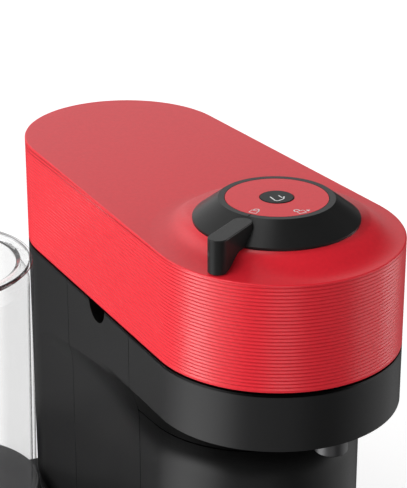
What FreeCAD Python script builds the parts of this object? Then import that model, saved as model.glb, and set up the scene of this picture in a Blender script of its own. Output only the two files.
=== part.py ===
import FreeCAD, Part
import math
import os

# Capsule coffee machine. Millimetres, +X to the machine's right, +Y to its rear, +Z up.
# The origin lies on the table under the axis of the lock dial.

# Plan of the lid and head: the hull of a front and a rear circle, with the column set back below
HEAD_R_FRONT = 68.0
HEAD_R_REAR = 60.0
HEAD_SPAN = 167.0
COLUMN_SETBACK = 31.0

# Heights
FOOT_H = 2.5
PLINTH_H = 7.0
FLOOR_RISE = 2.5
FLOOR_T = 3.0
HEAD_BOTTOM = 137.6
HEAD_H = 32.2
LID_GAP = 1.4
LID_FRONT_H = 58.8
LID_SLOPE = 1.056

# Walls, seams and fits
WALL = 2.5
SEAM = 0.4
GAP = 0.3
FIT = 0.05
DRAWER_GAP = 0.8
RUNNER_GAP = 0.5

# Black body
REAR_SEAM_LEAD = 42.5
FRONT_SEAM_Y = 42.5
COVE_R = 42.0
COVE_H = 22.6
NOTCH_R = 10.2
NOTCH_DEPTH = 14.0
PLINTH_INSET = 3.0
PLINTH_SETBACK = 7.0
PLINTH_CLEAR = 7.0
DECK_T = 3.0
DECK_DROP = 3.8
FRAME_T = 3.0
FRAME_INSET = 18.0
FRAME_CLEAR = 1.5
FRAME_LEAD = 17.0
TAB_SIZE = 12.0
FOOT_R = 8.0
FOOT_INSET = 22.0
FOOT_EDGE = 0.5

# Lid
RIB_COUNT = 29
RIB_DEPTH = 0.45
RIB_START = 1.2
RIB_MARGIN = 0.2
LID_EDGE = 0.85
ISLAND_R = 44.0
ISLAND_RISE = 8.0
ISLAND_MARGIN = 2.0
LINER_T = 3.0
LINER_RISE = 6.8
BOSS_R = 4.0
BOSS_INSET = 12.0
SCREW_R = 1.5
SCREW_HEAD_R = 3.2
SCREW_HEAD_H = 2.5
SCREW_BITE = 12.8

# Lid hinge
HINGE_INSET = 16.0
HINGE_DROP = 6.0
PIN_R = 3.0
KNUCKLE_R = 5.5
KNUCKLE_W = 8.0
TONGUE_HALF = 16.0
TONGUE_GAP = 1.0
FLANGE_MARGIN = 8.0
LID_OPEN = 50.0

# Lock dial and button
DIAL_H = 12.0
RING_BORE_R = 27.3
RING_LAND = 3.3
RING_T = 2.6
HUB_INSET = 8.0
DISC_T = 3.5
STEM_R = 22.0
STEM_H = 24.0
HANDLE_ANGLE = 209.5
HANDLE_INSET = 1.5
HANDLE_ROOT = 1.0
HANDLE_W = 10.5
HANDLE_DROP = 0.5
HANDLE_CLEAR = 0.7
CAM_T = 3.5
CAM_LUG = 4.0
LUG_COUNT = 3
BUTTON_R = 8.9
BUTTON_TRAVEL = 1.5
BUTTON_FLANGE = 2.1
BUTTON_STEM_R = 4.0
BOARD_T = 1.6
BOARD_RISE = 6.4

# Brewing parts on the dial axis
CHAMBER_CLEAR = 1.0
CHAMBER_WALL = 2.0
CAGE_CLEAR = 2.0
CAGE_LIP = 6.0
CAGE_WALL = 2.5
CAGE_BEVEL_W = 10.0
CAGE_BEVEL_H = 5.0
CAGE_RISE = 7.6
CAGE_PROUD = 2.0
SHAFT_R = 5.0
BEARING_R = 11.0
MOTOR_R = 22.0
MOTOR_CLEAR = 1.0
MOTOR_EDGE = 1.5
INJECTOR_R = 36.0
INJECTOR_T = 3.75
TIP_H = 7.5
TIP_R = 5.0
GASKET_W = 3.75
GASKET_T = 1.5
SPOUT_R = 8.75
SPOUT_INSET = 12.0
SPOUT_DROP = 9.6
SPOUT_EDGE = 0.8

# Pump, heater and electrics
PUMP_R = 17.0
PUMP_BODY_R = 10.5
PUMP_RISE = 30.0
PUMP_LEAD = 25.0
PUMP_LENGTH = 68.0
PUMP_CAP = 13.6
CRADLE_INSET = 3.4
CRADLE_LEG = 6.8
METER_R = 15.3
METER_H = 12.0
METER_NOZZLE = 3.0
HOSE_R = 3.0
HOSE_BEND = 9.0
HEATER_W = 32.0
HEATER_H = 36.0
HEATER_RISE = 71.0
HEATER_EDGE = 6.0
HEATER_CLEAR = 4.0
HEATER_GROOVES = 5
BOARD_H = 55.0
BOARD_MARGIN = 7.5
RELAY_L = 20.0
RELAY_T = 15.0
SINK_L = 10.0
SINK_H = 17.5
CAPACITOR_R = 5.0
GLAND_R = 6.0
GLAND_RISE = 14.0
CORD_R = 3.2

# Drawer
DRAWER_RISE = 8.0
TRAY_R = 55.0
TRAY_REACH = 48.0
TRAY_H = 24.0
GRID_T = 3.0
GRID_EDGE = 1.0
SLOT_W = 3.0
SLOT_PITCH = 7.0

# Water tank and its arm
TANK_R_TOP = 57.0
TANK_TAPER = 3.0
TANK_WALL = 2.2
TANK_EDGE = 0.55
TANK_FLOOR_T = 3.0
TANK_CLEAR = 2.7
TANK_ANGLE = 82.0
TANK_H = 149.0
TANK_LEDGE = 5.0
TANK_LID_T = 3.0
TANK_BASE_INSET = 1.0
TANK_BASE_H = 13.0
TURNTABLE_INSET = 5.0
ARM_T = 6.5
ARM_W = 62.0
ARM_FEET = 3
PIVOT_R = 12.0
WASHER_RIM = 5.0
VALVE_R = 6.0

# Heights worked out from the sizes above
plinth_top = FOOT_H + PLINTH_H
body_bottom = plinth_top + FLOOR_RISE
floor_top = body_bottom + FLOOR_T
washer_top = FOOT_H + FLOOR_T - GAP
body_top = HEAD_BOTTOM + HEAD_H
cove_start = HEAD_BOTTOM - COVE_H
deck_top = body_top - DECK_DROP
deck_bottom = deck_top - DECK_T
head_floor = HEAD_BOTTOM + WALL
chamber_bottom = head_floor + GAP
cage_bottom = chamber_bottom + CAGE_RISE
cage_top = deck_top + CAGE_PROUD
motor_bottom = cove_start + MOTOR_CLEAR
spout_bottom = HEAD_BOTTOM - SPOUT_DROP
pump_z = floor_top + PUMP_RISE
meter_top = floor_top + METER_H + METER_NOZZLE
heater_z = floor_top + HEATER_RISE
gland_z = body_bottom + GLAND_RISE
lid_bottom = body_top + LID_GAP
rim_front = lid_bottom + LID_FRONT_H
liner_bottom = lid_bottom + LINER_RISE
liner_top = liner_bottom + LINER_T
injector_low = liner_bottom - INJECTOR_T
hinge_z = rim_front - HINGE_DROP
island_top = rim_front + ISLAND_RISE
island_under = island_top - WALL
cam_top = island_under - GAP
dial_top = island_top + DIAL_H
tower_top = dial_top - STEM_H
board_top = tower_top + BOARD_RISE
button_flange_top = dial_top - DISC_T - GAP
drawer_bottom = plinth_top + RUNNER_GAP
head_seam = cove_start + DRAWER_RISE
drawer_top = head_seam - DRAWER_GAP
drawer_back_top = motor_bottom - MOTOR_CLEAR - DRAWER_GAP
tray_bottom = FOOT_H + RUNNER_GAP
tray_top = tray_bottom + TRAY_H
arm_top = FOOT_H + ARM_T
tank_bottom = arm_top + TANK_BASE_H
tank_floor = tank_bottom + TANK_FLOOR_T
tank_top = tank_bottom + TANK_H
tank_ledge_z = tank_top - TANK_LID_T - GAP

# Places and radii worked out from the sizes above
rear_y = HEAD_SPAN
column_r = HEAD_R_REAR
column_face = -HEAD_R_FRONT + COLUMN_SETBACK
column_front_y = column_face + column_r
rear_seam_y = rear_y - REAR_SEAM_LEAD
notch_y = (FRONT_SEAM_Y + rear_seam_y) / 2
turntable_r = column_r - TURNTABLE_INSET
plinth_front_y = column_face + PLINTH_SETBACK
plinth_rear_y = rear_y - turntable_r - PLINTH_CLEAR
foot_x = column_r - FOOT_INSET
frame_x = HEAD_R_REAR - FRAME_INSET
frame_front_y = FRONT_SEAM_Y + FRAME_CLEAR
frame_rear_y = rear_y - FRAME_LEAD
chamber_r = frame_front_y - CHAMBER_CLEAR
cage_r = chamber_r - CHAMBER_WALL - CAGE_CLEAR
cage_cup_r = cage_r - CAGE_LIP
spout_y = -HEAD_R_FRONT + SPOUT_INSET
pump_front_y = frame_front_y + FRAME_T + PUMP_LEAD
pump_rear_y = pump_front_y + PUMP_LENGTH
heater_front_y = pump_front_y + HOSE_R
heater_l = frame_rear_y - FRAME_T - HEATER_CLEAR - heater_front_y
heater_x = frame_x - FRAME_T / 2 - GAP - HEATER_W
slope_rise = math.tan(math.radians(LID_SLOPE))
rib_pitch = (LID_FRONT_H - RIB_START - LID_EDGE - RIB_MARGIN) / RIB_COUNT
island_foot_r = HEAD_R_FRONT - ISLAND_MARGIN
hinge_y = rear_y + HEAD_R_REAR - HINGE_INSET
knuckle_x = TONGUE_HALF + TONGUE_GAP + GAP
hub_r = ISLAND_R - HUB_INSET
ring_top_r = RING_BORE_R + RING_LAND
disc_r = RING_BORE_R - GAP
handle_r = HEAD_R_FRONT - HANDLE_INSET
handle_root_r = hub_r + HANDLE_ROOT
tray_y = column_face - TRAY_REACH + TRAY_R
tank_r_bottom = TANK_R_TOP - TANK_TAPER
tank_base_r = TANK_R_TOP - TANK_BASE_INSET
tank_distance = HEAD_R_REAR + TANK_R_TOP + TANK_CLEAR
tank_x = -tank_distance * math.sin(math.radians(TANK_ANGLE))
tank_y = rear_y + tank_distance * math.cos(math.radians(TANK_ANGLE))
tank_lean = TANK_TAPER / TANK_H
socket_r = VALVE_R + FIT + WALL
washer_r = PIVOT_R + WASHER_RIM

# Longer than the whole machine, for blocks that cut right through
REACH = 3 * (HEAD_SPAN + HEAD_R_FRONT)

UP = FreeCAD.Vector(0, 0, 1)
ALONG_X = FreeCAD.Vector(1, 0, 0)
ALONG_Y = FreeCAD.Vector(0, 1, 0)


def vec(x, y, z):
    return FreeCAD.Vector(x, y, z)


def box(x0, x1, y0, y1, z0, z1):
    return Part.makeBox(x1 - x0, y1 - y0, z1 - z0, vec(x0, y0, z0))


def rod(radius, x, y, z0, z1):
    return Part.makeCylinder(radius, z1 - z0, vec(x, y, z0), UP)


def tube(outer, inner, x, y, z0, z1):
    return rod(outer, x, y, z0, z1).cut(rod(inner, x, y, z0 - WALL, z1 + WALL))


def rod_x(radius, y, z, x0, x1):
    return Part.makeCylinder(radius, x1 - x0, vec(x0, y, z), ALONG_X)


def rod_y(radius, x, z, y0, y1):
    return Part.makeCylinder(radius, y1 - y0, vec(x, y0, z), ALONG_Y)


def outline(points, place):
    """A closed face through points. An entry of two points is an arc: one on the way and its end."""
    edges = []
    start = place(*points[0])
    first = start
    for item in points[1:]:
        if isinstance(item[0], tuple):
            end = place(*item[1])
            edges.append(Part.Arc(start, place(*item[0]), end).toShape())
        else:
            end = place(*item)
            edges.append(Part.LineSegment(start, end).toShape())
        start = end
    if start.distanceToPoint(first) > 1e-6:
        edges.append(Part.LineSegment(start, first).toShape())
    return Part.Face(Part.Wire(edges))


def turned(points, x=0.0, y=0.0):
    """A solid turned about an upright axis from (radius, height) points."""
    face = outline(points, lambda r, z: vec(x + r, y, z))
    return face.revolve(vec(x, y, 0), UP, 360)


def hull_slant(r_front, r_rear, span):
    return math.degrees(math.asin((r_front - r_rear) / span))


def hull_prism(r_front, y_front, r_rear, y_rear, z0, z1):
    """An upright prism over the hull of two circles on the centre plane."""
    slant = math.radians(hull_slant(r_front, r_rear, y_rear - y_front))
    side = math.cos(slant)
    lean = math.sin(slant)
    points = [
        (r_front * side, y_front + r_front * lean),
        ((0.0, y_front - r_front), (-r_front * side, y_front + r_front * lean)),
        (-r_rear * side, y_rear + r_rear * lean),
        ((0.0, y_rear + r_rear), (r_rear * side, y_rear + r_rear * lean)),
    ]
    return outline(points, lambda x, y: vec(x, y, z0)).extrude(vec(0, 0, z1 - z0))


def hull_sweep(points, r_front, y_front, r_rear, y_rear):
    """An (outward, height) outline swept right round the hull of two circles."""
    span = y_rear - y_front
    slant = hull_slant(r_front, r_rear, span)
    run = span * math.cos(math.radians(slant))

    def section(radius, centre_y, angle):
        cos = math.cos(math.radians(angle))
        sin = math.sin(math.radians(angle))
        return outline(points, lambda d, z: vec((radius + d) * cos, centre_y + (radius + d) * sin, z))

    front = section(r_front, y_front, slant).revolve(vec(0, y_front, 0), UP, -180 - 2 * slant)
    rear = section(r_rear, y_rear, slant).revolve(vec(0, y_rear, 0), UP, 180 - 2 * slant)
    lean = math.sin(math.radians(slant)) * run
    along = math.cos(math.radians(slant)) * run
    right = section(r_front, y_front, slant).extrude(vec(-lean, along, 0))
    left = section(r_front, y_front, 180 - slant).extrude(vec(lean, along, 0))
    return front.fuse([right, left, rear])


def head_prism(offset, z0, z1):
    return hull_prism(HEAD_R_FRONT + offset, 0, HEAD_R_REAR + offset, rear_y, z0, z1)


def column_prism(offset, z0, z1):
    return hull_prism(column_r + offset, column_front_y, column_r + offset, rear_y, z0, z1)


def between_y(y0, y1, z0=0.0):
    """A block across the whole machine from y0 to y1, up from z0."""
    return box(-REACH, REACH, y0, y1, z0, REACH)


def above_rim(drop):
    """Everything above the lid's sloping rim plane, lowered by drop."""
    block = Part.makeBox(REACH, REACH, REACH, vec(-REACH / 2, -REACH / 3, 0))
    block.rotate(vec(0, 0, 0), ALONG_X, LID_SLOPE)
    block.translate(vec(0, -HEAD_R_FRONT, rim_front - drop))
    return block


def cove_ring():
    """The hollow sweep from the column's face out to the underside of the head."""
    flare = COVE_R - math.sqrt(COVE_R ** 2 - COVE_H ** 2)
    half = COVE_H / 2
    mid = COVE_R - math.sqrt(COVE_R ** 2 - half ** 2)
    cove = [
        (-WALL, cove_start),
        (0.0, cove_start),
        ((mid, cove_start + half), (flare, HEAD_BOTTOM)),
        (-WALL, HEAD_BOTTOM),
    ]
    ring = hull_sweep(cove, column_r, column_front_y, column_r, rear_y)
    return ring.common(head_prism(0, body_bottom, body_top))


def body_walls():
    """The black skin as one shell: column, cove under the head, and head band."""
    column = column_prism(0, body_bottom, HEAD_BOTTOM)
    outer = head_prism(0, HEAD_BOTTOM, body_top).fuse([column, cove_ring()])
    shaft = column_prism(-WALL, body_bottom - WALL, head_floor)
    room = head_prism(-WALL, head_floor, body_top + WALL)
    return outer.cut(shaft.fuse(room))


def rear_shell(walls):
    shell = walls.common(between_y(rear_seam_y + SEAM / 2, REACH))
    gland_hole = rod_y(GLAND_R + FIT, 0, gland_z, rear_y, rear_y + REACH)
    return shell.cut(gland_hole)


def side_panel(walls, side):
    near = box(0, REACH, FRONT_SEAM_Y + SEAM / 2, rear_seam_y - SEAM / 2, 0, REACH)
    panel = walls.common(near)
    pocket_in = HEAD_R_FRONT - NOTCH_DEPTH - WALL
    skin = head_prism(-WALL / 2, HEAD_BOTTOM, body_top)
    pocket = rod_x(NOTCH_R + WALL, notch_y, body_top, pocket_in, HEAD_R_FRONT).common(skin)
    panel = panel.fuse(pocket)
    panel = panel.cut(rod_x(NOTCH_R, notch_y, body_top, pocket_in + WALL, HEAD_R_FRONT + WALL))
    if side < 0:
        panel = panel.mirror(vec(0, 0, 0), ALONG_X)
    return panel


def head_shell(walls):
    front = walls.common(between_y(-REACH, FRONT_SEAM_Y - SEAM / 2, head_seam))
    return front.cut(rod(SPOUT_R + GAP, 0, spout_y, 0, REACH))


def base_plate():
    floor = column_prism(-WALL - GAP, body_bottom, floor_top).common(between_y(FRONT_SEAM_Y, REACH))
    plinth = column_prism(-PLINTH_INSET, FOOT_H, plinth_top)
    plinth = plinth.common(between_y(plinth_front_y, plinth_rear_y))
    riser = column_prism(-PLINTH_INSET, plinth_top, body_bottom)
    riser = riser.common(between_y(FRONT_SEAM_Y, plinth_rear_y))
    boss = rod(PIVOT_R, 0, rear_y, washer_top, body_bottom)
    plate = floor.fuse([plinth, riser, boss])
    return plate.cut(rod(HOSE_R, 0, rear_y, 0, REACH))


def pivot_washer():
    return tube(washer_r, HOSE_R, 0, rear_y, FOOT_H + GAP, washer_top)


def rubber_feet():
    """A strip across the front under the dial axis and two round feet behind."""
    front = outline(
        [(-foot_x, -FOOT_R), (foot_x, -FOOT_R), ((foot_x + FOOT_R, 0.0), (foot_x, FOOT_R)),
         (-foot_x, FOOT_R), ((-foot_x - FOOT_R, 0.0), (-foot_x, -FOOT_R))],
        lambda x, y: vec(x, y, 0))
    strip = front.extrude(vec(0, 0, FOOT_H))
    back_y = plinth_rear_y - 2 * FOOT_R
    return Part.makeCompound([strip, foot(-foot_x, back_y), foot(foot_x, back_y)])


def foot(x, y):
    pad = rod(FOOT_R, x, y, 0, FOOT_H)
    return pad.makeChamfer(FOOT_EDGE, [pad.Edges[0], pad.Edges[2]])


def inner_frame():
    """Front bulkhead, two side plates and a rear cross plate, with tabs for the deck screws."""
    half = frame_x + FRAME_T / 2
    bulkhead = box(-half, half, frame_front_y, frame_front_y + FRAME_T, floor_top, deck_bottom)
    rear = box(-half, half, frame_rear_y - FRAME_T, frame_rear_y, floor_top, deck_bottom)
    window = box(-half + TAB_SIZE, half - TAB_SIZE, 0, REACH, floor_top + TAB_SIZE, deck_bottom - TAB_SIZE)
    pieces = [rear.cut(window)]
    for x in (-frame_x, frame_x):
        side = box(x - FRAME_T / 2, x + FRAME_T / 2, frame_front_y, frame_rear_y, floor_top, deck_bottom)
        pieces.append(side)
    for x, y in deck_screw_places():
        inner_x = x - math.copysign(TAB_SIZE / 2, x)
        outer_x = math.copysign(frame_x, x)
        low_x = min(inner_x, outer_x)
        high_x = max(inner_x, outer_x)
        tab = box(low_x, high_x, y - TAB_SIZE / 2, y + TAB_SIZE / 2, deck_bottom - FRAME_T, deck_bottom)
        pieces.append(tab)
    frame = bulkhead.fuse(pieces)
    for x, y in deck_screw_places():
        frame = frame.cut(rod(SCREW_R + FIT, x, y, deck_bottom - 2 * FRAME_T, deck_top))
    return frame


def deck_screw_places():
    x = frame_x - FRAME_T / 2 - TAB_SIZE / 2
    near_y = frame_front_y + FRAME_T + 2 * TAB_SIZE
    far_y = frame_rear_y - 2 * TAB_SIZE
    return [(-x, near_y), (x, near_y), (-x, far_y), (x, far_y)]


def top_deck():
    deck = head_prism(-WALL - GAP, deck_bottom, deck_top)
    deck = deck.cut(rod(chamber_r - CHAMBER_WALL, 0, 0, 0, REACH))
    slot = TONGUE_HALF + GAP
    deck = deck.cut(box(-slot, slot, hinge_y - KNUCKLE_R - GAP, REACH, 0, REACH))
    pocket = NOTCH_R + WALL + GAP
    inner = HEAD_R_FRONT - NOTCH_DEPTH - WALL - GAP - 2 * WALL
    for side in (-1, 1):
        near = min(side * inner, side * HEAD_R_FRONT)
        deck = deck.cut(box(near, near + HEAD_R_FRONT - inner, notch_y - pocket, notch_y + pocket, 0, REACH))
    for x, y in deck_screw_places():
        deck = deck.cut(rod(SCREW_R + FIT, x, y, 0, REACH))
    return deck


def deck_screws():
    screws = []
    for x, y in deck_screw_places():
        head = rod(SCREW_HEAD_R, x, y, deck_top, deck_top + SCREW_HEAD_H)
        screws.append(head.fuse(rod(SCREW_R, x, y, deck_bottom - FRAME_T, deck_top)))
    return Part.makeCompound(screws)


def hinge_bracket():
    """Foot under the deck and a tongue up to the lid's pin, sloped behind to clear the open lid."""
    front_y = hinge_y - KNUCKLE_R
    step = body_top + GAP
    flange_bottom = deck_bottom - FLOOR_T
    flange_half = TONGUE_HALF + FLANGE_MARGIN
    low = box(-TONGUE_HALF, TONGUE_HALF, front_y, REACH, flange_bottom, step)
    low = low.common(head_prism(-WALL - GAP, 0, REACH))
    high = box(-TONGUE_HALF, TONGUE_HALF, front_y, REACH, step, hinge_z)
    high = high.common(head_prism(-WALL / 2, 0, REACH))
    flange_front = front_y - KNUCKLE_R
    flange_rear = hinge_y + KNUCKLE_R / 2
    flange = box(-flange_half, flange_half, flange_front, flange_rear, flange_bottom, deck_bottom)
    bracket = low.fuse([high, flange, rod_x(KNUCKLE_R, hinge_y, hinge_z, -TONGUE_HALF, TONGUE_HALF)])
    slope = Part.makeBox(REACH, REACH, REACH, vec(-REACH / 2, -REACH / 2, KNUCKLE_R + TONGUE_GAP))
    slope.rotate(vec(0, 0, 0), ALONG_X, -LID_OPEN)
    slope.translate(vec(0, hinge_y, hinge_z))
    bracket = bracket.cut(slope)
    return bracket.cut(rod_x(PIN_R, hinge_y, hinge_z, -REACH, REACH))


def hinge_pin():
    half = knuckle_x + KNUCKLE_W
    return rod_x(PIN_R, hinge_y, hinge_z, -half, half)


def brew_chamber():
    cup = tube(chamber_r, chamber_r - CHAMBER_WALL, 0, 0, chamber_bottom, deck_bottom)
    floor_z = chamber_bottom + FLOOR_T
    floor = tube(chamber_r, BEARING_R + FIT, 0, 0, chamber_bottom, floor_z)
    outlet = box(-SPOUT_R / 2, SPOUT_R / 2, -chamber_r - WALL, -BEARING_R, floor_z, floor_z + FLOOR_T)
    return cup.fuse(floor).cut(outlet)


def cage_bearing():
    return tube(BEARING_R, SHAFT_R + FIT, 0, 0, chamber_bottom, cage_bottom - GAP)


def cage_motor():
    """Motor can under the chamber with a collar up to the bearing."""
    shoulder = chamber_bottom - FLOOR_T
    can = rod(MOTOR_R, 0, 0, motor_bottom, shoulder)
    can = can.makeChamfer(MOTOR_EDGE, [can.Edges[0], can.Edges[2]])
    motor = can.fuse(rod(BEARING_R, 0, 0, shoulder - WALL, chamber_bottom))
    return motor.cut(rod(SHAFT_R + FIT, 0, 0, motor_bottom + FLOOR_T, REACH))


def capsule_cage():
    """Open cup with a flange, on a hub round the shaft."""
    r_in = cage_cup_r - CAGE_WALL
    floor = cage_bottom + CAGE_WALL
    points = [
        (0.0, cage_bottom),
        (cage_cup_r - CAGE_BEVEL_W, cage_bottom),
        (cage_cup_r, cage_bottom + CAGE_BEVEL_H),
        (cage_cup_r, cage_top - CAGE_WALL),
        (cage_r, cage_top - CAGE_WALL),
        (cage_r, cage_top),
        (r_in, cage_top),
        (r_in, floor + CAGE_BEVEL_H),
        (r_in - CAGE_BEVEL_W, floor),
        (0.0, floor),
    ]
    return turned(points)


def cage_shaft():
    return rod(SHAFT_R, 0, 0, motor_bottom + FLOOR_T + GAP, cage_bottom)


def coffee_spout():
    """Hollow round spout hung by its flange on the floor of the head."""
    r_in = SPOUT_R - WALL
    top = head_floor + FLOOR_T
    points = [
        (r_in - WALL / 2, spout_bottom),
        (SPOUT_R - SPOUT_EDGE, spout_bottom),
        (SPOUT_R, spout_bottom + SPOUT_EDGE),
        (SPOUT_R, head_floor),
        (SPOUT_R + WALL, head_floor),
        (SPOUT_R + WALL, top),
        (r_in, top),
        (r_in, spout_bottom + 2 * WALL),
    ]
    spout = turned(points, 0, spout_y)
    return spout.common(between_y(spout_y - SPOUT_R, -chamber_r - GAP))


def pump():
    """Vibrating pump: coil can between two end caps, with a nozzle at each end."""
    can = rod_y(PUMP_R, 0, pump_z, pump_front_y + PUMP_CAP, pump_rear_y - PUMP_CAP)
    body = rod_y(PUMP_BODY_R, 0, pump_z, pump_front_y + PUMP_CAP / 2, pump_rear_y - PUMP_CAP / 2)
    nozzles = rod_y(HOSE_R, 0, pump_z, pump_front_y, pump_rear_y)
    return can.fuse([body, nozzles])


def pump_cradle():
    """Saddle under the coil can, with a tunnel between its two legs."""
    half = PUMP_R - CRADLE_INSET
    tunnel_half = half - CRADLE_LEG
    middle = (pump_front_y + pump_rear_y) / 2
    block = box(-half, half, middle - PUMP_CAP, middle + PUMP_CAP, floor_top, pump_z - PUMP_R / 3)
    block = block.cut(rod_y(PUMP_R + GAP, 0, pump_z, 0, REACH))
    return block.cut(box(-tunnel_half, tunnel_half, 0, REACH, 0, floor_top + WALL))


def flow_meter():
    body_z = floor_top + METER_H
    meter = rod(METER_R, 0, rear_y, floor_top, body_z)
    meter = meter.makeChamfer(MOTOR_EDGE, [meter.Edges[0]])
    return meter.fuse(rod(HOSE_R, 0, rear_y, body_z - WALL, meter_top))


def hose(points):
    """A round hose through points, each corner bent to one radius."""
    corners = [vec(*p) for p in points]
    edges = []
    start = corners[0]
    for before, corner, after in zip(corners, corners[1:], corners[2:]):
        into = (corner - before).normalize()
        out = (after - corner).normalize()
        half = into.getAngle(out) / 2
        setback = HOSE_BEND * math.tan(half)
        enter = corner - into * setback
        leave = corner + out * setback
        inward = (out - into).normalize()
        middle = corner + inward * (HOSE_BEND / math.cos(half) - HOSE_BEND)
        edges.append(Part.LineSegment(start, enter).toShape())
        edges.append(Part.Arc(enter, middle, leave).toShape())
        start = leave
    edges.append(Part.LineSegment(start, corners[-1]).toShape())
    path = Part.Wire(edges)
    ring = Part.Wire(Part.Circle(corners[0], corners[1] - corners[0], HOSE_R).toShape())
    return path.makePipeShell([ring], True, False)


def supply_hose():
    return hose([(0, rear_y, meter_top), (0, rear_y, pump_z), (0, pump_rear_y, pump_z)])


def pressure_hose():
    rise_y = frame_front_y + FRAME_T + 2 * HOSE_R
    inlet_z = heater_z + HEATER_H / 2
    inlet_x = heater_x + HEATER_W / 2
    points = [
        (0, pump_front_y, pump_z),
        (0, rise_y, pump_z),
        (0, rise_y, inlet_z),
        (inlet_x, rise_y, inlet_z),
        (inlet_x, heater_front_y, inlet_z),
    ]
    return hose(points)


def heater():
    """Cast block with rounded long edges and cooling grooves across its top."""
    top = heater_z + HEATER_H
    block = box(heater_x, heater_x + HEATER_W, heater_front_y, heater_front_y + heater_l, heater_z, top)
    lengthwise = [e for e in block.Edges if abs(e.tangentAt(e.FirstParameter).y) > 0.9]
    block = block.makeFillet(HEATER_EDGE, lengthwise)
    for step in range(1, HEATER_GROOVES + 1):
        y = heater_front_y + step * heater_l / (HEATER_GROOVES + 1)
        block = block.cut(box(0, REACH, y - WALL / 2, y + WALL / 2, top - WALL, REACH))
    return block


def power_board():
    """Board on the frame's left plate with a relay, a heat sink and a capacitor."""
    back = -frame_x + FRAME_T / 2 + GAP
    face = back + BOARD_T
    board = box(back, face, pump_front_y, pump_front_y + heater_l, heater_z, heater_z + BOARD_H)
    part_y = pump_front_y + BOARD_MARGIN
    relay_z = heater_z + BOARD_MARGIN
    sink_z = relay_z + RELAY_T + BOARD_MARGIN
    relay = box(face, face + RELAY_T, part_y, part_y + RELAY_L, relay_z, relay_z + RELAY_T)
    sink = box(face, face + SINK_L, part_y, part_y + SINK_L, sink_z, sink_z + SINK_H)
    capacitor_y = pump_front_y + heater_l - BOARD_MARGIN - CAPACITOR_R
    capacitor = rod_x(CAPACITOR_R, capacitor_y, heater_z + BOARD_H / 2, face, face + RELAY_L)
    return board.fuse([relay, sink, capacitor])


def cord_gland():
    outside = rear_y + HEAD_R_REAR
    collar_r = GLAND_R + WALL
    seat = rear_y + math.sqrt((HEAD_R_REAR - WALL) ** 2 - collar_r ** 2) - GAP
    bush = rod_y(GLAND_R, 0, gland_z, seat - WALL, outside + GAP)
    collar = rod_y(collar_r, 0, gland_z, seat - WALL, seat)
    return bush.fuse(collar).cut(rod_y(CORD_R, 0, gland_z, 0, REACH))


def island(lift):
    """The round rise under the dial: two tangent arcs from the rim plane up to the plateau."""
    base = rim_front + slope_rise * HEAD_R_FRONT
    height = island_top - base + WALL / 2
    run = island_foot_r - ISLAND_R
    radius = (run ** 2 + height ** 2) / (4 * height)
    tilt = math.asin(run / 2 / radius)
    bow = radius * (1 - math.cos(tilt / 2))
    reach = radius * math.sin(tilt / 2)
    points = [
        (0.0, -WALL - lift),
        (island_foot_r, -WALL - lift),
        (island_foot_r, -lift),
        ((island_foot_r - reach, bow - lift), (island_foot_r - run / 2, height / 2 - lift)),
        ((ISLAND_R + reach, height - bow - lift), (ISLAND_R, height - lift)),
        (0.0, height - lift),
    ]
    rise = turned(points)
    rise.rotate(vec(0, 0, 0), ALONG_X, LID_SLOPE)
    rise.translate(vec(0, 0, base))
    return rise.cut(box(-REACH, REACH, -REACH, REACH, island_top - lift, REACH))


def lid_screw_places():
    near_x = HEAD_R_FRONT - WALL - BOSS_INSET
    far_x = HEAD_R_REAR - WALL - BOSS_INSET
    near_y = ISLAND_R + 2 * BOSS_R
    far_y = rear_y - BOSS_INSET
    return [(-near_x, near_y), (near_x, near_y), (-far_x, far_y), (far_x, far_y)]


def lid_shell():
    """Ribbed wall, sloping top with its rounded edge, and the rise for the dial, hollow below."""
    ribs_from = lid_bottom + RIB_START
    ribs_to = ribs_from + RIB_COUNT * rib_pitch
    comb = [(-WALL, lid_bottom), (0.0, lid_bottom), (0.0, ribs_from)]
    for rib in range(RIB_COUNT):
        z = ribs_from + rib * rib_pitch
        comb.append((-RIB_DEPTH, z + rib_pitch / 2))
        comb.append((0.0, z + rib_pitch))
    comb.append((-WALL, ribs_to))
    wall = hull_sweep(comb, HEAD_R_FRONT, 0, HEAD_R_REAR, rear_y)
    cap = head_prism(0, ribs_to, dial_top).cut(above_rim(0))
    top_face = max(cap.Faces, key=lambda f: f.CenterOfMass.z)
    cap = cap.makeFillet(LID_EDGE, top_face.OuterWire.Edges)
    cap = cap.fuse(island(0))
    hollow = head_prism(-WALL, ribs_to - WALL, dial_top).cut(above_rim(WALL))
    cap = cap.cut(hollow.fuse(island(WALL)))
    shell = wall.fuse(cap)
    for x, y in lid_screw_places():
        boss = rod(BOSS_R, x, y, liner_top, dial_top).cut(above_rim(WALL / 2))
        shell = shell.fuse(boss)
        shell = shell.cut(rod(SCREW_R + FIT, x, y, liner_top - WALL, liner_top + SCREW_BITE + WALL))
    shell = shell.cut(rod(hub_r + GAP, 0, 0, island_under - WALL, REACH))
    slot = TONGUE_HALF + TONGUE_GAP
    ceiling = rim_front + slope_rise * (hinge_y + HEAD_R_FRONT) - WALL
    return shell.cut(box(-slot, slot, hinge_y - KNUCKLE_R, REACH, lid_bottom - WALL, ceiling))


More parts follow.
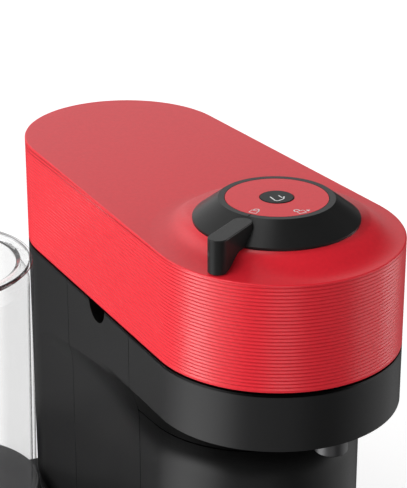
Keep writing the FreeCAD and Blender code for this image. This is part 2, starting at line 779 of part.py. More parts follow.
def lid_frame():
    """Liner plate with the dial tower and the two hinge arms."""
    plate = head_prism(-WALL - GAP, liner_bottom, liner_top)
    tower = tube(STEM_R + WALL, STEM_R - WALL, 0, 0, liner_top, tower_top)
    slot = TONGUE_HALF + TONGUE_GAP
    plate = plate.cut(box(-slot, slot, hinge_y - 3 * KNUCKLE_R, REACH, 0, REACH))
    arms = []
    for side in (-1, 1):
        low = min(side * knuckle_x, side * (knuckle_x + KNUCKLE_W))
        arm = box(low, low + KNUCKLE_W, hinge_y - KNUCKLE_R, hinge_y + KNUCKLE_R, liner_bottom, hinge_z)
        arms.append(arm.fuse(rod_x(KNUCKLE_R, hinge_y, hinge_z, low, low + KNUCKLE_W)))
    frame = plate.fuse([tower] + arms)
    frame = frame.cut(rod_x(PIN_R + FIT, hinge_y, hinge_z, -REACH, REACH))
    for x, y in lid_screw_places():
        frame = frame.cut(rod(SCREW_R + FIT, x, y, 0, tower_top))
    return frame


def lid_screws():
    screws = []
    for x, y in lid_screw_places():
        head = rod(SCREW_HEAD_R, x, y, liner_bottom - SCREW_HEAD_H, liner_bottom)
        screws.append(head.fuse(rod(SCREW_R, x, y, liner_bottom, liner_top + SCREW_BITE)))
    return Part.makeCompound(screws)


def injector_plate():
    """Round plate under the liner with the piercing tip on the axis."""
    points = [
        (0.0, injector_low - TIP_H),
        (TIP_R / 4, injector_low - TIP_H / 3),
        (TIP_R, injector_low),
        (INJECTOR_R, injector_low),
        (INJECTOR_R, liner_bottom),
        (0.0, liner_bottom),
    ]
    return turned(points)


def lid_gasket():
    outer = INJECTOR_R - WALL
    return tube(outer, outer - GASKET_W, 0, 0, injector_low - GASKET_T, injector_low)


def lever_ring():
    """Cone-shaped grip ring with its hub through the lid, and the handle at its locked place."""
    ring_foot = island_top + GAP
    top_in = dial_top - RING_T
    points = [
        (RING_BORE_R, dial_top),
        (ring_top_r, dial_top),
        (ISLAND_R, ring_foot + RING_T / 2),
        (ISLAND_R, ring_foot),
        (hub_r, ring_foot),
        (hub_r, cam_top),
        (hub_r - RING_T, cam_top),
        (hub_r - RING_T, ring_foot + 2 * RING_T),
        (RING_BORE_R + RING_T, top_in),
        (RING_BORE_R, top_in),
    ]
    ring = turned(points).fuse(lever_handle())
    tick = box(RING_BORE_R + GAP, ring_top_r, -GAP, GAP, dial_top - GAP, dial_top + GAP)
    tick.rotate(vec(0, 0, 0), UP, HANDLE_ANGLE)
    return ring.cut(tick)


def lever_handle():
    """Straight fin with a round end whose underside follows the rise of the lid."""
    half = HANDLE_W / 2
    end_x = handle_r - half
    top = dial_top - HANDLE_DROP
    top_in = dial_top - RING_T
    plan = [
        (handle_root_r, -half),
        (end_x, -half),
        ((handle_r, 0.0), (end_x, half)),
        (handle_root_r, half),
        ((handle_root_r - half, 0.0), (handle_root_r, -half)),
    ]
    fin = outline(plan, lambda x, y: vec(x, y, rim_front)).extrude(vec(0, 0, top - rim_front))
    top_face = max(fin.Faces, key=lambda f: f.CenterOfMass.z)
    fin = fin.makeFillet(HANDLE_DROP, top_face.OuterWire.Edges)
    fin.rotate(vec(0, 0, 0), UP, HANDLE_ANGLE)
    clearance = island(0)
    clearance.translate(vec(0, 0, HANDLE_CLEAR))
    fin = fin.common(above_rim(-HANDLE_CLEAR)).cut(clearance)
    cone = [
        (0.0, rim_front),
        (ISLAND_R, rim_front),
        (ISLAND_R, island_top),
        (ring_top_r - RING_T, top_in),
        (0.0, top_in),
    ]
    return fin.cut(turned(cone))


def lock_cam():
    """Ring under the lid that keeps the lever in, with locking lugs."""
    low = cam_top - CAM_T
    ring = tube(ISLAND_R, hub_r - RING_T, 0, 0, low, cam_top)
    for turn in range(LUG_COUNT):
        lug = box(ISLAND_R - RING_T, ISLAND_R + CAM_LUG, -HANDLE_W, HANDLE_W, low, cam_top - CAM_T / 3)
        lug.rotate(vec(0, 0, 0), UP, HANDLE_ANGLE + 360 / LUG_COUNT * turn)
        ring = ring.fuse(lug)
    return ring


def dial_disc():
    """Fixed disc in the middle of the lever, on a stem that stands on the lid's tower."""
    under = dial_top - DISC_T
    points = [
        (BUTTON_R + GAP, dial_top),
        (disc_r, dial_top),
        (disc_r, under),
        (STEM_R, under),
        (STEM_R, tower_top),
        (STEM_R - WALL, tower_top),
        (STEM_R - WALL, under),
        (BUTTON_R + GAP, under),
    ]
    return turned(points)


def brew_button():
    top = dial_top + GAP
    flange_low = button_flange_top - 2 * GAP - BUTTON_TRAVEL
    stem_low = board_top + BUTTON_TRAVEL + GAP
    flange_r = BUTTON_R + BUTTON_FLANGE
    points = [
        (0.0, stem_low),
        (BUTTON_STEM_R, stem_low),
        (BUTTON_STEM_R, flange_low),
        (flange_r, flange_low),
        (flange_r, button_flange_top),
        (BUTTON_R, button_flange_top),
        (BUTTON_R, top - GAP),
        (BUTTON_R - GAP, top),
        (0.0, top),
    ]
    return turned(points)


def light_guide():
    """Clear ring round the button stem that carries the board's light up to the button."""
    r_in = BUTTON_R + BUTTON_FLANGE + GAP
    return tube(STEM_R - WALL - GAP, r_in, 0, 0, board_top, button_flange_top - BUTTON_TRAVEL)


def button_board():
    return rod(STEM_R - WALL - GAP, 0, 0, board_top - BOARD_T, board_top)


def capsule_container():
    """Open bucket: its front is the column's front up into the cove, its back passes under the motor."""
    back = FRONT_SEAM_Y - SEAM
    front = column_prism(0, drawer_bottom, drawer_top).fuse(cove_ring())
    bucket = front.common(box(-REACH, REACH, -REACH, back, drawer_bottom, drawer_top))
    inside = column_prism(-WALL, drawer_bottom + WALL, REACH).common(between_y(-REACH, back - WALL))
    pass_under = column_prism(-WALL, drawer_back_top, REACH)
    return bucket.cut(inside.fuse(pass_under))


def drip_tray():
    outer = rod(TRAY_R, 0, tray_y, tray_bottom, tray_top).cut(column_prism(GAP, 0, REACH))
    inner = rod(TRAY_R - WALL, 0, tray_y, tray_bottom + WALL, REACH).cut(column_prism(GAP + WALL, 0, REACH))
    return outer.cut(inner)


def drip_grid():
    """Flat grid on the tray's rim with a row of drain slots."""
    top = tray_top + GRID_T
    profile = [
        (0.0, tray_top),
        (TRAY_R, tray_top),
        (TRAY_R, top - GRID_EDGE),
        (TRAY_R - GRID_EDGE, top),
        (0.0, top),
    ]
    plate = turned(profile, 0, tray_y).cut(column_prism(GAP, 0, REACH))
    rim = 2 * WALL
    window = rod(TRAY_R - rim, 0, tray_y, 0, REACH).cut(column_prism(GAP + rim, 0, REACH))
    count = int((TRAY_R - rim) / SLOT_PITCH)
    slots = []
    for step in range(-count, count + 1):
        x = step * SLOT_PITCH
        slot = box(x - SLOT_W / 2, x + SLOT_W / 2, tray_y - TRAY_R, REACH, 0, REACH).common(window)
        slots.extend(slot.Solids)
    return plate.cut(slots)


def about_tank(radius, z0, z1):
    return rod(radius, tank_x, tank_y, z0, z1)


def tank_arm():
    """Turntable under the rear of the body, with a bridge out to the tank's plate."""
    table = rod(turntable_r, 0, rear_y, FOOT_H, body_bottom - 2 * GAP)
    bridge = box(-ARM_W / 2, ARM_W / 2, 0, tank_distance, FOOT_H, arm_top)
    bridge.rotate(vec(0, 0, 0), UP, TANK_ANGLE)
    bridge.translate(vec(0, rear_y, 0))
    arm = table.fuse([bridge, about_tank(tank_base_r, FOOT_H, arm_top)])
    arm = arm.cut(rod(PIVOT_R + FIT, 0, rear_y, 0, REACH))
    return arm.cut(rod(washer_r + GAP, 0, rear_y, 0, FOOT_H + FLOOR_T))


def arm_feet():
    reach = tank_base_r - 2 * FOOT_R
    feet = []
    for turn in range(ARM_FEET):
        angle = math.radians(TANK_ANGLE + 90 + 360 / ARM_FEET * turn)
        feet.append(foot(tank_x + reach * math.cos(angle), tank_y + reach * math.sin(angle)))
    return Part.makeCompound(feet)


def tank_base():
    """Shallow stand under the tank, hollow below, with a boss for the valve socket."""
    ceiling = tank_bottom - WALL
    points = [
        (socket_r + GAP, arm_top),
        (socket_r + WALL, arm_top),
        (socket_r + WALL, ceiling),
        (tank_base_r - WALL, ceiling),
        (tank_base_r - WALL, arm_top),
        (tank_base_r, arm_top),
        (tank_base_r, tank_bottom - WALL / 2),
        (tank_base_r - WALL / 2, tank_bottom),
        (socket_r + GAP, tank_bottom),
    ]
    return turned(points, tank_x, tank_y)


def valve_socket():
    socket = about_tank(socket_r, arm_top, tank_bottom - GAP)
    return socket.cut(about_tank(VALVE_R + GAP, arm_top + WALL, REACH))


def tank_inner_r(z):
    return tank_r_bottom + tank_lean * (z - tank_bottom) - TANK_WALL


def water_tank():
    """Clear tapered jar with a ledge inside for its lid."""
    ledge_r = tank_inner_r(tank_ledge_z)
    ledge_foot = tank_ledge_z - 2 * TANK_LEDGE
    points = [
        (VALVE_R + WALL, tank_bottom),
        (tank_r_bottom - 2 * TANK_EDGE, tank_bottom),
        (tank_r_bottom, tank_bottom + 2 * TANK_EDGE),
        (TANK_R_TOP, tank_top - TANK_EDGE),
        (TANK_R_TOP - TANK_EDGE, tank_top),
        (tank_inner_r(tank_top), tank_top),
        (ledge_r, tank_ledge_z),
        (ledge_r - TANK_LEDGE, tank_ledge_z),
        (ledge_r - TANK_LEDGE, tank_ledge_z - TANK_WALL),
        (tank_inner_r(ledge_foot), ledge_foot),
        (tank_inner_r(tank_floor), tank_floor),
        (VALVE_R + WALL, tank_floor),
    ]
    return turned(points, tank_x, tank_y)


def tank_valve():
    """Spring valve in the tank's floor whose nose reaches into the socket."""
    nose = arm_top + 2 * WALL
    seat_r = VALVE_R + WALL - GAP
    flange_r = VALVE_R + 2 * WALL
    points = [
        (0.0, nose),
        (VALVE_R - WALL / 2, nose),
        (VALVE_R, nose + WALL / 2),
        (VALVE_R, tank_bottom),
        (seat_r, tank_bottom),
        (seat_r, tank_floor),
        (flange_r, tank_floor),
        (flange_r, tank_floor + WALL),
        (VALVE_R, tank_floor + 2 * WALL),
        (0.0, tank_floor + 2 * WALL),
    ]
    return turned(points, tank_x, tank_y)


def tank_lid():
    """Flat lid on the tank's ledge with a raised grip rim."""
    edge = tank_inner_r(tank_ledge_z) - GAP
    rim_r = edge - TANK_LEDGE
    top = tank_ledge_z + TANK_LID_T
    middle = top - TANK_LID_T / 2
    points = [
        (0.0, tank_ledge_z),
        (edge, tank_ledge_z),
        (edge, top),
        (rim_r, top),
        (rim_r - WALL, middle),
        (0.0, middle),
    ]
    return turned(points, tank_x, tank_y)


def main():
    walls = body_walls()
    nodes = {
        "base_plate": base_plate(),
        "rubber_feet": rubber_feet(),
        "rear_shell": rear_shell(walls),
        "side_panel_left": side_panel(walls, -1),
        "side_panel_right": side_panel(walls, 1),
        "head_shell": head_shell(walls),
        "top_deck": top_deck(),
        "deck_screws": deck_screws(),
        "hinge_bracket": hinge_bracket(),
        "hinge_pin": hinge_pin(),
        "inner_frame": inner_frame(),
        "pivot_washer": pivot_washer(),
        "brew_chamber": brew_chamber(),
        "cage_bearing": cage_bearing(),
        "cage_motor": cage_motor(),
        "coffee_spout": coffee_spout(),
        "pump": pump(),
        "pump_cradle": pump_cradle(),
        "flow_meter": flow_meter(),
        "supply_hose": supply_hose(),
        "pressure_hose": pressure_hose(),
        "heater": heater(),
        "power_board": power_board(),
        "cord_gland": cord_gland(),
        "lid_shell": lid_shell(),
        "lid_frame": lid_frame(),
        "lid_screws": lid_screws(),
        "injector_plate": injector_plate(),
        "lid_gasket": lid_gasket(),
        "dial_disc": dial_disc(),
        "light_guide": light_guide(),
        "button_board": button_board(),
        "lever_ring": lever_ring(),
        "lock_cam": lock_cam(),
        "brew_button": brew_button(),
        "capsule_cage": capsule_cage(),
        "cage_shaft": cage_shaft(),
        "capsule_container": capsule_container(),
        "drip_tray": drip_tray(),
        "drip_grid": drip_grid(),
        "tank_arm": tank_arm(),
        "arm_feet": arm_feet(),
        "tank_base": tank_base(),
        "valve_socket": valve_socket(),
        "water_tank": water_tank(),
        "tank_valve": tank_valve(),
        "tank_lid": tank_lid(),
    }
    os.makedirs("parts", exist_ok=True)
    for name, shape in nodes.items():
        shape.exportStep("parts/" + name + ".step")
        print(name, len(shape.Solids), shape.isValid(), round(shape.Volume / 1000, 2))


main()
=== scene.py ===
import bpy
import math
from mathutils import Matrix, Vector

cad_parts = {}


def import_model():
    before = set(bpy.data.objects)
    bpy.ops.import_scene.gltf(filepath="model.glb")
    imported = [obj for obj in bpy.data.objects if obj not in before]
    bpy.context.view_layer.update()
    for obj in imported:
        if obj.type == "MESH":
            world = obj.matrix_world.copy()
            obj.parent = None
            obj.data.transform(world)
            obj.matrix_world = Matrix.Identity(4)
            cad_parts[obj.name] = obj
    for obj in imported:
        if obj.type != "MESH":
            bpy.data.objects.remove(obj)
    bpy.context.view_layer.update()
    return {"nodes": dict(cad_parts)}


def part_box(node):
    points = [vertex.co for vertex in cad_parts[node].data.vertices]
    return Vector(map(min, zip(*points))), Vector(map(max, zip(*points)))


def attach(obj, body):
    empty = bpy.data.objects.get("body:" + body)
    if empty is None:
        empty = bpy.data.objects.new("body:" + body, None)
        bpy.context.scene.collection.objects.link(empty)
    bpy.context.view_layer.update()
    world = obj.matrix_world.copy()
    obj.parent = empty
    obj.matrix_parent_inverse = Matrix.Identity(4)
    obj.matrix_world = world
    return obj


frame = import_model()
nodes = frame["nodes"]

# Lengths are in metres, in the part's frame at rest. Headings are in degrees: 0 to the right, 90 behind.

# Camera: the photograph's viewpoint
CAMERA_AT = Vector((-0.4751, -0.7394, 0.5940))
CAMERA_AIM = Vector((-0.0402, 0.0065, 0.2298))
CAMERA_LENS = 134.2
SENSOR_WIDTH = 36.0

# Lamps: the point they face, how far off they stand, and each one's heading, elevation, side and watts
LAMP_AIM = Vector((0.0, 0.05, 0.17))
LAMP_DISTANCE = 3.0
LAMPS = {
    "left": (170, 12, 1.2, 41.0),
    "left_back": (150, 36, 2.4, 28.0),
    "left_front": (190, 36, 1.2, 18.0),
    "top": (180, 70, 1.2, 17.0),
    "front": (245, 14, 1.2, 16.0),
    "front_high": (290, 36, 1.2, 6.0),
    "front_right": (320, 12, 1.2, 10.5),
    "right": (350, 12, 1.2, 23.0),
    "back": (85, 40, 1.2, 5.0),
}

# World: its light on the machine, and the wall behind that reflections see: its heading, the cosines to that
# heading at its edge and where it is full, and its brightness
WORLD_FILL = 0.03
WALL_HEADING = 90
WALL_EDGE = 0.5
WALL_FULL = 0.8
WALL_GLOW = 0.88

# Floor: half its side, its two close greys and the noise scale of their patches, its glow by the machine, and
# the distances between which that glow goes up to white
FLOOR_HALF = 6.0
FLOOR_GREYS = (0.44, 0.46)
FLOOR_PATCHES = 3.0
FLOOR_GLOW = 0.80
GLOW_NEAR = 0.8
GLOW_FAR = 3.0

# Floor as reflections see it, which glows there though it is no lamp and so paints highlights into
# reflections: the strip's glow, and shares of it by heading. The ramp of shares starts and ends at heading
# 180.
STRIP_GLOW = 2.2
SHARE_AT_ENDS = 0.83
MIRRORED_FLOOR = [(0, 0.21), (30, 0.024), (60, 0.0), (100, 0.06), (115, 0.10), (128, 0.13), (145, 0.28),
                  (157, 0.60), (170, 0.85), (188, 0.80), (199, 0.58), (207, 0.24), (215, 0.11), (255, 0.10),
                  (268, 0.02), (285, 0.0), (305, 0.108), (330, 0.22)]

# Footprint of the column, round which a shadow is painted into the floor's glow in reflections: its middle
# and half sizes, and how far off it the mirrored floor starts and is full
FOOT_MIDDLE = (0.0, 0.080, 0.0)
FOOT_HALF = (0.060, 0.147, 0.0)
FOOT_DARK = 0.035
FOOT_CLEAR = 0.085

# Marks printed on the dial: the faces they lie on, their lift and line widths, the radius and heading of each
# on the disc, the shift of the open shackle and the cup's turn
DIAL_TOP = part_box("dial_disc")[1].z
BUTTON_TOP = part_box("brew_button")[1].z
INK_LIFT = 0.00006
INK_WIDTH = 0.00065
CUP_INK = 1.3 * INK_WIDTH
LOCK_PLACE = (0.0255, 208.5)
UNLOCK_PLACE = (0.0253, 269.5)
ARROW_PLACE = (0.0240, 279.5)
OPEN_SHIFT = 0.0012
CUP_TURN = -30.0

# Rise round the dial: the radii of its ring and foot, and how steep its shading is at the ring
DIAL_AXIS = (0.0, 0.0, 0.0)
RISE_RING = 0.044
RISE_FOOT = 0.066
RISE_STEEP = 0.9

# The rise's shading falls off to its foot by a power. The power is lower at the front, which makes the rise
# fuller: its heading there, and the cosines to that heading where the change starts and is full
FALL_ELSEWHERE = 2.5
FALL_FRONT = 1.0
FRONT_HEADING = 285
FRONT_EDGE = 0.3
FRONT_FULL = 0.95

# Upward part of the normal on the lid's walls, which keep their own shading, and on its top
WALL_NORMAL_Z = 0.55
TOP_NORMAL_Z = 0.70

# Sweep under the head, where normals lean down and shade is painted into the colour: the heights where both
# start and are full, the head's underside, where they fade out from front to rear, and how far its normals
# lean down
SWEEP_FOOT = 0.100
SWEEP_FULL = 0.126
HEAD_UNDER = 0.1374
SWEEP_FRONT = 0.020
SWEEP_REAR = 0.090
SWEEP_LEAN = 0.8

# Lip along the top of the black band, where shade is painted into the colour and normals lean down: its foot
# and soft edge
LIP_FOOT = 0.1682
LIP_EDGE = 0.0004

# Recess of the side notches, where shade is painted into the colour: just inside the side wall at the dial's
# axis, the wall's slant towards the rear, the recess's foot, and its middle and half width along the side
RECESS_FACE = 0.0677
WALL_SLANT = 0.048
RECESS_FOOT = 0.1570
RECESS_MIDDLE = 0.085
RECESS_HALF = 0.011

# Ribs of the lid's wall: their top, pitch and depth, and the height, place and slope of the rim above them
RIBS_TOP = 0.22895
RIB_PITCH = 0.00195
RIB_DEPTH = 0.00045
RIM_FRONT = 0.22915
RIM_FRONT_Y = -0.068
RIM_SLOPE = 0.01843

# Tank: its axis and top, its rim's middle radius and half width with the soft border of the dark edges
# painted on it in place of refraction, how deep the rim goes, and the top of its seat with the soft border
# above it, below which it hardly shows
TANK_LOW, TANK_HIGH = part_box("water_tank")
TANK_AXIS = (TANK_LOW + TANK_HIGH) / 2
TANK_TOP = TANK_HIGH.z
RIM_MIDDLE = 0.0559
RIM_HALF = 0.0011
RIM_BORDER = (0.0006, 0.0003)
RIM_DEPTH = (0.0012, 0.0006)
SEAT_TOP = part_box("tank_base")[1].z
SEAT_LAYER = (0.0002, 0.0004)

# Tank's cover: its least, and the turns from the eye at which its sides and its outline set in and are full
TANK_LEAST = 0.03
SIDES_TURN = (0.22, 0.40)
OUTLINE_TURN = (0.70, 1.0)

# Shares of light that the shadows of clear pieces keep back
THICK_SHADOW = 0.15
TANK_SHADOW = 0.25

# Colours
RED = (0.80, 0.0200, 0.0350)
BLACK = (0.015, 0.015, 0.0153)
# Near black for shade painted into the column's colour: under the head, on the band's lip and in the side
# notches
PAINTED_SHADE_BLACK = (0.0012, 0.0012, 0.0012)

# Middle of a noise value, where most of it lies
NOISE_MIDDLE = (0.3, 0.7)

# Moulded plastic: noise scales of its colour, gloss and grain, their detail, how far its colour and its
# roughness drift, and the grain's depth
COLOUR_NOISE = 420.0
GLOSS_NOISE = 900.0
GRAIN_NOISE = 2600.0
MOULDED_DETAIL = 3.0
COLOUR_DRIFT = 0.03
GLOSS_DRIFT = 0.03
GRAIN_DEPTH = 0.00008

# Metal: detail of its brushing, how far its colour drifts, how far its roughness goes down and up, and the
# brushing's strength and depth
BRUSH_DETAIL = 4.0
METAL_DRIFT = 0.08
METAL_SMOOTHER = 0.06
METAL_ROUGHER = 0.08
BRUSH_STRENGTH = 0.08
BRUSH_DEPTH = 0.00005

# Clear plastic: noise scales of its gloss and waviness, the least and most of its roughness as shares, the
# waves' strength and depth, and its refraction
CLEAR_NOISE = 60.0
WAVE_NOISE = 45.0
CLEAR_LEAST = 0.6
CLEAR_MOST = 1.4
WAVE_STRENGTH = 0.04
WAVE_DEPTH = 0.0004
CLEAR_IOR = 1.45

# Circuit board: its scale, the colours of its fields and tracks, its lacquer's noise scale and roughness, and
# the tracks' strength and depth
BOARD_SCALE = 160.0
BOARD_FIELDS = ((0.012, 0.10, 0.035), (0.016, 0.13, 0.045))
BOARD_TRACKS = (0.05, 0.26, 0.10)
LACQUER_NOISE = 200.0
LACQUER_ROUGH = (0.25, 0.4)
TRACK_STRENGTH = 0.2
TRACK_DEPTH = 0.0001

# Ink: the greys and the roughness that it drifts between, and their noise scales
INK_GREYS = (0.78, 0.92)
INK_ROUGH = (0.5, 0.7)
INK_COLOUR_NOISE = 900.0
INK_GLOSS_NOISE = 500.0


# Node helpers

def new_material(name):
    material = bpy.data.materials.new(name)
    material.use_nodes = True
    tree = material.node_tree
    return material, tree, tree.nodes["Principled BSDF"]


def opaque(colour):
    return (*colour, 1.0)


def grey(value):
    return (value, value, value)


def feed(tree, socket, value):
    """Link a socket to another, or set a fixed value on it."""
    if isinstance(value, bpy.types.NodeSocket):
        tree.links.new(value, socket)
    else:
        socket.default_value = value


def coordinate(tree, output):
    return tree.nodes.new("ShaderNodeTexCoord").outputs[output]


def part_of(tree, output, axis):
    """One axis of the point shaded, or of its normal, in the frame at rest."""
    split = tree.nodes.new("ShaderNodeSeparateXYZ")
    tree.links.new(coordinate(tree, output), split.inputs["Vector"])
    return split.outputs[axis]


def noise(tree, scale, detail=2.0, vector=None):
    texture = tree.nodes.new("ShaderNodeTexNoise")
    texture.inputs["Scale"].default_value = scale
    texture.inputs["Detail"].default_value = detail
    tree.links.new(vector or coordinate(tree, "Object"), texture.inputs["Vector"])
    return texture.outputs["Fac"]


def map_range(tree, value, start, end, low, high, kind="LINEAR"):
    """A change from low to high as a value goes from start to end."""
    node = tree.nodes.new("ShaderNodeMapRange")
    node.interpolation_type = kind
    node.inputs["From Min"].default_value = start
    node.inputs["From Max"].default_value = end
    node.inputs["To Min"].default_value = low
    node.inputs["To Max"].default_value = high
    tree.links.new(value, node.inputs["Value"])
    return node.outputs["Result"]


def spread(tree, value, low, high):
    """Map the middle of a noise value to the range low to high."""
    return map_range(tree, value, *NOISE_MIDDLE, low, high)


def ramp(tree, value, start, end, low=0.0, high=1.0):
    """A soft change from low to high as a value goes from start to end."""
    return map_range(tree, value, start, end, low, high, "SMOOTHSTEP")


def mixed(tree, kind, factor, first, second):
    """Mix two colours or two vectors, fixed or linked, by a factor."""
    mix = tree.nodes.new("ShaderNodeMix")
    mix.data_type = kind
    tree.links.new(factor, mix.inputs["Factor"])
    feed(tree, mix.inputs["A"], first)
    feed(tree, mix.inputs["B"], second)
    return mix.outputs["Result"]


def tint(tree, value, dark, light):
    """Mix two fixed colours by a value."""
    return mixed(tree, "RGBA", value, opaque(dark), opaque(light))


def maths(tree, operation, first, second=None):
    """One sum on a socket and a number or another socket."""
    node = tree.nodes.new("ShaderNodeMath")
    node.operation = operation
    tree.links.new(first, node.inputs[0])
    if second is not None:
        feed(tree, node.inputs[1], second)
    return node.outputs["Value"]


def product(tree, first, *others):
    for other in others:
        first = maths(tree, "MULTIPLY", first, other)
    return first


def vectors(tree, operation, first, second=None, output="Vector"):
    """One sum on a vector and another vector, fixed or linked."""
    node = tree.nodes.new("ShaderNodeVectorMath")
    node.operation = operation
    tree.links.new(first, node.inputs[0])
    if second is not None:
        feed(tree, node.inputs[1], second)
    return node.outputs[output]


def length(tree, vector):
    return vectors(tree, "LENGTH", vector, output="Value")


def scaled(tree, vector, factor):
    node = tree.nodes.new("ShaderNodeVectorMath")
    node.operation = "SCALE"
    feed(tree, node.inputs["Vector"], vector)
    tree.links.new(factor, node.inputs["Scale"])
    return node.outputs["Vector"]


def flat_offset(tree, axis):
    """The vector, level with the table, from an upright axis to the point shaded."""
    offset = vectors(tree, "SUBTRACT", coordinate(tree, "Object"), axis)
    return vectors(tree, "MULTIPLY", offset, (1.0, 1.0, 0.0))


def towards(tree, vector, heading, start, end, low, high):
    """A soft change from low to high as the cosine from a vector to a heading goes from start to end."""
    turn = math.radians(heading)
    unit = vectors(tree, "NORMALIZE", vector)
    along = vectors(tree, "DOT_PRODUCT", unit, (math.cos(turn), math.sin(turn), 0.0), "Value")
    return ramp(tree, along, start, end, low, high)


def to_world(tree, normal):
    """A normal in a piece's own frame, as the shader needs it."""
    turn = tree.nodes.new("ShaderNodeVectorTransform")
    turn.vector_type = "NORMAL"
    turn.convert_from = "OBJECT"
    turn.convert_to = "WORLD"
    tree.links.new(normal, turn.inputs["Vector"])
    return turn.outputs["Vector"]


def bump(tree, height, strength, distance, normal=None):
    node = tree.nodes.new("ShaderNodeBump")
    node.inputs["Strength"].default_value = strength
    node.inputs["Distance"].default_value = distance
    tree.links.new(height, node.inputs["Height"])
    if normal:
        tree.links.new(normal, node.inputs["Normal"])
    return node


# Forms by place on the part, and shade painted into the colour by place

def dial_rise(tree):
    """Normals of a rise that turns up ever more steeply from its foot to the ring; all else as it is."""
    outward = flat_offset(tree, DIAL_AXIS)
    climb = map_range(tree, length(tree, outward), RISE_FOOT, RISE_RING, 0.0, 1.0)
    fall = towards(tree, outward, FRONT_HEADING, FRONT_EDGE, FRONT_FULL, FALL_ELSEWHERE, FALL_FRONT)
    steep = product(tree, maths(tree, "POWER", climb, fall), RISE_STEEP)
    lean = scaled(tree, vectors(tree, "NORMALIZE", outward), steep)
    leaning = vectors(tree, "ADD", lean, (0.0, 0.0, 1.0))
    facing_up = ramp(tree, part_of(tree, "Normal", "Z"), WALL_NORMAL_Z, TOP_NORMAL_Z)
    on_rise = product(tree, facing_up, maths(tree, "GREATER_THAN", climb, 0.0))
    return to_world(tree, mixed(tree, "VECTOR", on_rise, coordinate(tree, "Normal"), leaning))


def rib_ends(tree, normal):
    """Carry the ribs on over the plain wall that is left between their top and the sloping rim."""
    height = part_of(tree, "Object", "Z")
    above = maths(tree, "SUBTRACT", height, RIBS_TOP)
    wave = maths(tree, "PINGPONG", maths(tree, "DIVIDE", above, RIB_PITCH), 0.5)
    behind = maths(tree, "SUBTRACT", part_of(tree, "Object", "Y"), RIM_FRONT_Y)
    off_slope = maths(tree, "SUBTRACT", height, product(tree, behind, RIM_SLOPE))
    under_rim = maths(tree, "LESS_THAN", off_slope, RIM_FRONT)
    band = product(tree, maths(tree, "GREATER_THAN", above, 0.0), under_rim)
    groove = bump(tree, product(tree, wave, band), 1.0, RIB_DEPTH * 2, normal)
    groove.invert = True
    return groove.outputs["Normal"]


def lid_form(tree):
    return rib_ends(tree, dial_rise(tree))


def under_head_lean_and_shade(tree):
    """0 to 1 up the column to the head's lower edge, fading out towards the rear: where normals lean down and
    shade is painted into the colour.
    """
    height = part_of(tree, "Object", "Z")
    climb = ramp(tree, height, SWEEP_FOOT, SWEEP_FULL)
    below = maths(tree, "LESS_THAN", height, HEAD_UNDER)
    forward = ramp(tree, part_of(tree, "Object", "Y"), SWEEP_FRONT, SWEEP_REAR, 1.0, 0.0)
    return product(tree, climb, below, forward)


def recess_painted_shade(tree):
    """1 inside the side notches, where shade is painted into the colour; 0 elsewhere."""
    along = part_of(tree, "Object", "Y")
    outward = maths(tree, "ABSOLUTE", part_of(tree, "Object", "X"))
    off_slant = maths(tree, "ADD", outward, product(tree, along, WALL_SLANT))
    inward = maths(tree, "LESS_THAN", off_slant, RECESS_FACE)
    raised = maths(tree, "GREATER_THAN", part_of(tree, "Object", "Z"), RECESS_FOOT)
    off_middle = maths(tree, "ABSOLUTE", maths(tree, "SUBTRACT", along, RECESS_MIDDLE))
    beside = maths(tree, "LESS_THAN", off_middle, RECESS_HALF)
    return product(tree, inward, raised, beside)


def lip(tree):
    """1 on the band's top edge, where the shade of the lid's gap is painted into the colour and the normals
    lean down.
    """
    return ramp(tree, part_of(tree, "Object", "Z"), LIP_FOOT, LIP_FOOT + LIP_EDGE)


# Under the head and on the band's lip: normals lean down there and shade is painted into the colour
def undercut_lean_and_shade(tree):
    return maths(tree, "MAXIMUM", under_head_lean_and_shade(tree), lip(tree))


# Where shade is painted into the column's colour: under the head, on the band's lip and in the side notches
def column_painted_shade(tree):
    return maths(tree, "MAXIMUM", undercut_lean_and_shade(tree), recess_painted_shade(tree))


def head_sweep(tree):
    """Normals of a wide sweep from the column out to the head, and of the lip; all else as it is."""
    lean = scaled(tree, (0.0, 0.0, -SWEEP_LEAN), undercut_lean_and_shade(tree))
    return to_world(tree, vectors(tree, "ADD", coordinate(tree, "Normal"), lean))


# Materials

def shades(colour, change):
    dark = tuple(c * (1.0 - change) for c in colour)
    light = tuple(min(1.0, c * (1.0 + change)) for c in colour)
    return dark, light


def moulded(name, colour, rough, grain=0.12, specular=0.5, form=None, painted_shade=None):
    """Moulded plastic: fine spark-eroded grain, slightly uneven gloss and a trace of colour drift.

    form gives the normals under the grain, and the painted-shade mask goes to 1 where shade is painted in,
    taking the colour down to near black.
    """
    material, tree, shader = new_material(name)
    drift = spread(tree, noise(tree, COLOUR_NOISE, MOULDED_DETAIL), 0.0, 1.0)
    base = tint(tree, drift, *shades(colour, COLOUR_DRIFT))
    if painted_shade:
        # Painted shade: the colour goes down to near black where the mask is 1
        base = mixed(tree, "RGBA", painted_shade(tree), base, opaque(PAINTED_SHADE_BLACK))
    tree.links.new(base, shader.inputs["Base Color"])
    uneven = noise(tree, GLOSS_NOISE, MOULDED_DETAIL)
    gloss = spread(tree, uneven, rough - GLOSS_DRIFT, rough + GLOSS_DRIFT)
    tree.links.new(gloss, shader.inputs["Roughness"])
    shader.inputs["Specular IOR Level"].default_value = specular
    pits = noise(tree, GRAIN_NOISE, MOULDED_DETAIL)
    grained = bump(tree, pits, grain, GRAIN_DEPTH, form(tree) if form else None)
    tree.links.new(grained.outputs["Normal"], shader.inputs["Normal"])
    return material


